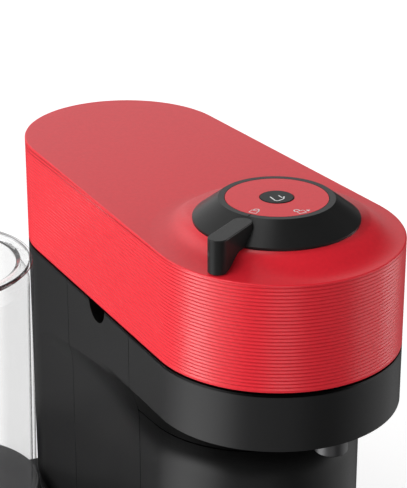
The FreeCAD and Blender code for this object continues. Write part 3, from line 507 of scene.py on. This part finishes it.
def metal(name, colour, rough, stretch):
    """Brushed or cast metal: noise drawn out along one axis gives the brushing."""
    material, tree, shader = new_material(name)
    mapping = tree.nodes.new("ShaderNodeMapping")
    mapping.inputs["Scale"].default_value = stretch
    tree.links.new(coordinate(tree, "Object"), mapping.inputs["Vector"])
    lines = noise(tree, 1.0, BRUSH_DETAIL, mapping.outputs["Vector"])
    tree.links.new(tint(tree, lines, *shades(colour, METAL_DRIFT)), shader.inputs["Base Color"])
    gloss = spread(tree, lines, rough - METAL_SMOOTHER, rough + METAL_ROUGHER)
    tree.links.new(gloss, shader.inputs["Roughness"])
    shader.inputs["Metallic"].default_value = 1.0
    brushed = bump(tree, lines, BRUSH_STRENGTH, BRUSH_DEPTH)
    tree.links.new(brushed.outputs["Normal"], shader.inputs["Normal"])
    return material


def polished(tree, shader, rough):
    """Slightly uneven roughness of clear plastic."""
    uneven = spread(tree, noise(tree, CLEAR_NOISE), rough * CLEAR_LEAST, rough * CLEAR_MOST)
    tree.links.new(uneven, shader.inputs["Roughness"])


def lit_through(tree, kept):
    """1 for the eye, and for the shadow of a clear piece the share that is kept."""
    path = tree.nodes.new("ShaderNodeLightPath")
    return ramp(tree, path.outputs["Is Shadow Ray"], 0.0, 1.0, 1.0, kept)


def clear(name, colour, rough):
    """Thick clear plastic with the faint waviness of a moulding."""
    material, tree, shader = new_material(name)
    shader.inputs["Base Color"].default_value = opaque(colour)
    shader.inputs["Transmission Weight"].default_value = 1.0
    shader.inputs["IOR"].default_value = CLEAR_IOR
    polished(tree, shader, rough)
    waves = bump(tree, noise(tree, WAVE_NOISE), WAVE_STRENGTH, WAVE_DEPTH)
    tree.links.new(waves.outputs["Normal"], shader.inputs["Normal"])
    tree.links.new(lit_through(tree, THICK_SHADOW), shader.inputs["Alpha"])
    return material


def thin_clear(name, colour, rough, face, edge):
    """Thin clear jar: seen through where it faces the eye; darkening is painted in place of refraction along
    its turned sides and rim's edges.
    """
    material, tree, shader = new_material(name)
    shader.inputs["Base Color"].default_value = opaque(colour)
    polished(tree, shader, rough)
    turned = tree.nodes.new("ShaderNodeLayerWeight").outputs["Facing"]
    # Darkening painted in place of refraction: by the turn from the eye on the sides and outline, and by
    # place on the rim
    sides = ramp(tree, turned, *SIDES_TURN, TANK_LEAST, face)
    outline = ramp(tree, turned, *OUTLINE_TURN, 0.0, edge)
    height = part_of(tree, "Object", "Z")
    across = maths(tree, "SUBTRACT", length(tree, flat_offset(tree, TANK_AXIS)), RIM_MIDDLE)
    edges_from, edges_full = (RIM_HALF - border for border in RIM_BORDER)
    painted_rim_edges = ramp(tree, maths(tree, "ABSOLUTE", across), edges_from, edges_full, 0.0, edge)
    rim_from, rim_full = (TANK_TOP - depth for depth in RIM_DEPTH)
    rim = product(tree, painted_rim_edges, ramp(tree, height, rim_from, rim_full))
    cover = maths(tree, "MAXIMUM", maths(tree, "MAXIMUM", sides, outline), rim)
    seat_from, seat_full = (SEAT_TOP + layer for layer in SEAT_LAYER)
    off_seat = ramp(tree, height, seat_from, seat_full, TANK_LEAST, 1.0)
    shown = product(tree, cover, off_seat, lit_through(tree, TANK_SHADOW))
    tree.links.new(shown, shader.inputs["Alpha"])
    return material


def circuit(name):
    """Lacquered board: green with a grid of paler tracks."""
    material, tree, shader = new_material(name)
    tracks = tree.nodes.new("ShaderNodeTexBrick")
    tracks.inputs["Scale"].default_value = BOARD_SCALE
    tracks.inputs["Color1"].default_value = opaque(BOARD_FIELDS[0])
    tracks.inputs["Color2"].default_value = opaque(BOARD_FIELDS[1])
    tracks.inputs["Mortar"].default_value = opaque(BOARD_TRACKS)
    tree.links.new(coordinate(tree, "Object"), tracks.inputs["Vector"])
    tree.links.new(tracks.outputs["Color"], shader.inputs["Base Color"])
    lacquer = spread(tree, noise(tree, LACQUER_NOISE), *LACQUER_ROUGH)
    tree.links.new(lacquer, shader.inputs["Roughness"])
    raised = bump(tree, tracks.outputs["Fac"], TRACK_STRENGTH, TRACK_DEPTH)
    tree.links.new(raised.outputs["Normal"], shader.inputs["Normal"])
    return material


def ink(name):
    """Matt white print, slightly uneven."""
    material, tree, shader = new_material(name)
    dark, light = INK_GREYS
    white = tint(tree, noise(tree, INK_COLOUR_NOISE), grey(dark), grey(light))
    tree.links.new(white, shader.inputs["Base Color"])
    tree.links.new(spread(tree, noise(tree, INK_GLOSS_NOISE), *INK_ROUGH), shader.inputs["Roughness"])
    return material


def dress(material, *names):
    for name in names:
        data = nodes[name].data
        data.materials.clear()
        data.materials.append(material)


def dress_mouldings():
    dress(moulded("red_satin", RED, 0.34, grain=0.05, specular=0.40), "dial_disc")
    dress(moulded("red_lid", RED, 0.34, grain=0.05, specular=0.40, form=lid_form), "lid_shell")
    dress(moulded("black_satin", BLACK, 0.32, grain=0.06, specular=0.34),
          "hinge_bracket", "drip_tray", "drip_grid")
    # The column's colour has shade painted in under the head, on the band's lip and in the side notches
    dress(moulded("black_column_painted_shade", BLACK, 0.32, grain=0.06, specular=0.34, form=head_sweep,
                  painted_shade=column_painted_shade),
          "rear_shell", "side_panel_left", "side_panel_right", "head_shell", "capsule_container")
    dress(moulded("grey_stand", (0.045, 0.045, 0.046), 0.40, grain=0.06, specular=0.34), "tank_base")
    dress(moulded("black_lever", (0.015, 0.0152, 0.0152), 0.32, grain=0.04, specular=0.19), "lever_ring")
    dress(moulded("black_button", (0.011, 0.0112, 0.0112), 0.34, grain=0.04, specular=0.12), "brew_button")
    dress(moulded("dark_moulding", (0.010, 0.010, 0.0105), 0.60, grain=0.3, specular=0.25),
          "base_plate", "lid_frame", "top_deck", "inner_frame", "brew_chamber", "tank_arm", "lock_cam",
          "pump_cradle", "valve_socket")
    dress(moulded("natural_moulding", (0.55, 0.54, 0.50), 0.50, grain=0.1), "flow_meter", "tank_valve")
    dress(moulded("rubber", (0.010, 0.010, 0.010), 0.80, grain=0.5, specular=0.25),
          "rubber_feet", "arm_feet", "lid_gasket", "cord_gland", "supply_hose", "pressure_hose")


def dress_others():
    dress(metal("bright_steel", (0.58, 0.58, 0.57), 0.28, (900.0, 900.0, 60.0)),
          "hinge_pin", "lid_screws", "deck_screws", "cage_shaft", "cage_bearing", "injector_plate",
          "pivot_washer", "capsule_cage")
    dress(metal("satin_spout", (0.165, 0.165, 0.168), 0.42, (60.0, 60.0, 2200.0)), "coffee_spout")
    dress(metal("cast_aluminium", (0.62, 0.62, 0.62), 0.50, (500.0, 500.0, 500.0)), "heater")
    dress(metal("plated_can", (0.40, 0.40, 0.41), 0.38, (60.0, 900.0, 60.0)), "cage_motor", "pump")
    dress(thin_clear("clear_tank", (0.10, 0.10, 0.105), 0.06, face=0.105, edge=0.80), "water_tank")
    dress(clear("clear_guide", (0.90, 0.90, 0.90), 0.20), "light_guide")
    dress(clear("clear_lid", (0.99, 0.99, 0.99), 0.01), "tank_lid")
    dress(circuit("circuit_board"), "button_board", "power_board")


# Marks printed on the dial

def ribbon(path, width, closed=False):
    """Corner points of a flat line along a path of (x, y) points, as quads."""
    points = [Vector(p) for p in path]
    count = len(points)
    sides = []
    for i, point in enumerate(points):
        before = points[i - 1] if closed or i > 0 else point
        after = points[(i + 1) % count] if closed or i < count - 1 else point
        along = (after - before).normalized()
        across = Vector((-along.y, along.x)) * width / 2
        sides.append((point + across, point - across))
    quads = []
    for i in range(count if closed else count - 1):
        a, b = sides[i]
        c, d = sides[(i + 1) % count]
        quads.append((a, b, d, c))
    return quads


def arc(cx, cy, radius, start, end, steps=14):
    angles = [math.radians(start + (end - start) * i / steps) for i in range(steps + 1)]
    return [(cx + radius * math.cos(a), cy + radius * math.sin(a)) for a in angles]


def flat_mark(name, polygons, height, body, material, origin=(0.0, 0.0), turn=0.0):
    """A thin printed mark made of flat polygons, turned and set on the dial at a height."""
    cos = math.cos(math.radians(turn))
    sin = math.sin(math.radians(turn))
    verts = []
    faces = []
    for polygon in polygons:
        first = len(verts)
        for x, y in polygon:
            verts.append((origin[0] + x * cos - y * sin, origin[1] + x * sin + y * cos, height))
        faces.append(tuple(range(first, len(verts))))
    mesh = bpy.data.meshes.new(name)
    mesh.from_pydata(verts, [], faces)
    mesh.update()
    mark = bpy.data.objects.new(name, mesh)
    bpy.context.scene.collection.objects.link(mark)
    mesh.materials.append(material)
    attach(mark, body)


def polar(place):
    radius, heading = place
    return (radius * math.cos(math.radians(heading)), radius * math.sin(math.radians(heading)))


def upright(place):
    """The turn that points a mark's top to the dial's middle."""
    return place[1] + 90.0


def padlock(shift):
    """A plain padlock outline: body and shackle, the shackle moved aside by shift when it is open."""
    half = 0.0020
    height = 0.0032
    leg = 0.0014
    bend = height + 0.0010
    body = [(-half, 0.0), (half, 0.0), (half, height), (-half, height)]
    shackle = [(-leg - shift, height)] + arc(-shift, bend, leg, 180, 0) + [(leg - shift, height)]
    return ribbon(body, INK_WIDTH, closed=True) + ribbon(shackle, INK_WIDTH)


def cup():
    """A plain angular cup with a short splash over its rim."""
    bowl = [(-0.0035, -0.0004), (-0.0012, -0.0054), (-0.0002, -0.0061), (0.0010, -0.0056), (0.0032, -0.0036)]
    splash = [(0.0009, 0.0016), (0.0026, -0.0016), (0.0038, 0.0002), (0.0033, -0.0034)]
    return ribbon(bowl, CUP_INK) + ribbon(splash, CUP_INK)


def dial_marks():
    white = ink("white_ink")
    disc = DIAL_TOP + INK_LIFT
    unlock_turn = upright(UNLOCK_PLACE)
    arrow = [[(-0.0008, 0.0012), (-0.0008, -0.0012), (0.0013, 0.0)]]
    flat_mark("lock_mark", padlock(0.0), disc, "lid", white, polar(LOCK_PLACE), upright(LOCK_PLACE))
    flat_mark("unlock_mark", padlock(OPEN_SHIFT), disc, "lid", white, polar(UNLOCK_PLACE), unlock_turn)
    flat_mark("turn_arrow", arrow, disc, "lid", white, polar(ARROW_PLACE), unlock_turn)
    flat_mark("cup_mark", cup(), BUTTON_TOP + INK_LIFT, "button", white, turn=CUP_TURN)


# Studio

def camera():
    data = bpy.data.cameras.new("camera")
    data.lens = CAMERA_LENS
    data.sensor_width = SENSOR_WIDTH
    shot = bpy.data.objects.new("camera", data)
    shot.location = CAMERA_AT
    shot.rotation_euler = (CAMERA_AIM - CAMERA_AT).to_track_quat("-Z", "Y").to_euler()
    bpy.context.scene.collection.objects.link(shot)
    bpy.context.scene.camera = shot


def softbox(name, heading, elevation, side, watts):
    """A soft square lamp on a sphere round the machine."""
    turn = math.radians(heading)
    lift = math.radians(elevation)
    away = Vector((math.cos(turn) * math.cos(lift), math.sin(turn) * math.cos(lift), math.sin(lift)))
    data = bpy.data.lights.new(name, "AREA")
    data.shape = "SQUARE"
    data.size = side
    data.energy = watts
    lamp = bpy.data.objects.new(name, data)
    lamp.location = LAMP_AIM + LAMP_DISTANCE * away
    lamp.rotation_euler = (-away).to_track_quat("-Z", "Y").to_euler()
    bpy.context.scene.collection.objects.link(lamp)


def looked_at(tree, path):
    """1 for what the eye sees straight or through a clear piece, 0 for light and reflections."""
    return maths(tree, "MAXIMUM", path.outputs["Is Camera Ray"], path.outputs["Is Transmission Ray"])


def world():
    """White behind the machine, dim light on it, and for reflections a room with a white wall at the back."""
    sky = bpy.data.worlds.new("studio")
    bpy.context.scene.world = sky
    sky.use_nodes = True
    tree = sky.node_tree
    background = tree.nodes["Background"]
    background.inputs["Color"].default_value = (1.0, 1.0, 1.0, 1.0)
    path = tree.nodes.new("ShaderNodeLightPath")
    direction = coordinate(tree, "Generated")
    wall = towards(tree, direction, WALL_HEADING, WALL_EDGE, WALL_FULL, 0.0, WALL_GLOW)
    mirrored = product(tree, path.outputs["Is Glossy Ray"], wall)
    bright = maths(tree, "MAXIMUM", looked_at(tree, path), mirrored)
    tree.links.new(maths(tree, "MAXIMUM", bright, WORLD_FILL), background.inputs["Strength"])


def painted_reflection_glow(tree):
    """Glow painted on the floor for reflections only, by heading: a strip at the left, a dimmer one at the
    right.
    """
    angle = maths(tree, "ARCTAN2", part_of(tree, "Object", "Y"), part_of(tree, "Object", "X"))
    strip = tree.nodes.new("ShaderNodeValToRGB")
    stops = strip.color_ramp.elements
    for heading, share in MIRRORED_FLOOR:
        stops.new((heading + 180) % 360 / 360).color = opaque(grey(share))
    for end in (stops[0], stops[-1]):
        end.color = opaque(grey(SHARE_AT_ENDS))
    tree.links.new(map_range(tree, angle, -math.pi, math.pi, 0.0, 1.0), strip.inputs["Fac"])
    return product(tree, strip.outputs["Color"], STRIP_GLOW)


def clear_of_painted_base_shade(tree):
    """Shadow painted into the floor's glow in reflections: 0 on the floor close to the column, 1 a hand's
    breadth off.
    """
    beside = vectors(tree, "ABSOLUTE", flat_offset(tree, FOOT_MIDDLE))
    beyond = vectors(tree, "SUBTRACT", beside, FOOT_HALF)
    outside = vectors(tree, "MAXIMUM", beyond, (0.0, 0.0, 0.0))
    return ramp(tree, length(tree, outside), FOOT_DARK, FOOT_CLEAR)


def floor_material():
    """Pale floor that glows to white as the background and keeps a soft shadow; in reflections a glow by
    heading is painted on it, with a painted shadow close to the column.
    """
    material, tree, shader = new_material("pale_floor")
    material.cycles.emission_sampling = "NONE"
    shader.inputs["Roughness"].default_value = 0.9
    shader.inputs["Specular IOR Level"].default_value = 0.1
    dark, light = FLOOR_GREYS
    pale = tint(tree, noise(tree, FLOOR_PATCHES), grey(dark), grey(light))
    tree.links.new(pale, shader.inputs["Base Color"])
    shader.inputs["Emission Color"].default_value = (1.0, 1.0, 1.0, 1.0)
    path = tree.nodes.new("ShaderNodeLightPath")
    off = length(tree, flat_offset(tree, DIAL_AXIS))
    glow = ramp(tree, off, GLOW_NEAR, GLOW_FAR, FLOOR_GLOW, 1.0)
    tree.links.new(product(tree, looked_at(tree, path), glow), shader.inputs["Emission Strength"])
    mirrored = tree.nodes.new("ShaderNodeEmission")
    painted_reflection = product(tree, painted_reflection_glow(tree), clear_of_painted_base_shade(tree))
    tree.links.new(painted_reflection, mirrored.inputs["Strength"])
    reflected = maths(tree, "SUBTRACT", path.outputs["Is Glossy Ray"], path.outputs["Is Transmission Ray"])
    choice = tree.nodes.new("ShaderNodeMixShader")
    tree.links.new(reflected, choice.inputs["Fac"])
    tree.links.new(shader.outputs["BSDF"], choice.inputs[1])
    tree.links.new(mirrored.outputs["Emission"], choice.inputs[2])
    tree.links.new(choice.outputs["Shader"], tree.nodes["Material Output"].inputs["Surface"])
    return material


def floor():
    low, high = -FLOOR_HALF, FLOOR_HALF
    mesh = bpy.data.meshes.new("floor")
    mesh.from_pydata([(low, low, 0), (high, low, 0), (high, high, 0), (low, high, 0)], [], [(0, 1, 2, 3)])
    mesh.materials.append(floor_material())
    ground = bpy.data.objects.new("floor", mesh)
    bpy.context.scene.collection.objects.link(ground)


dress_mouldings()
dress_others()
dial_marks()
camera()
world()
floor()
for lamp_name, setting in LAMPS.items():
    softbox(lamp_name, *setting)
bpy.context.scene.view_settings.view_transform = "Standard"
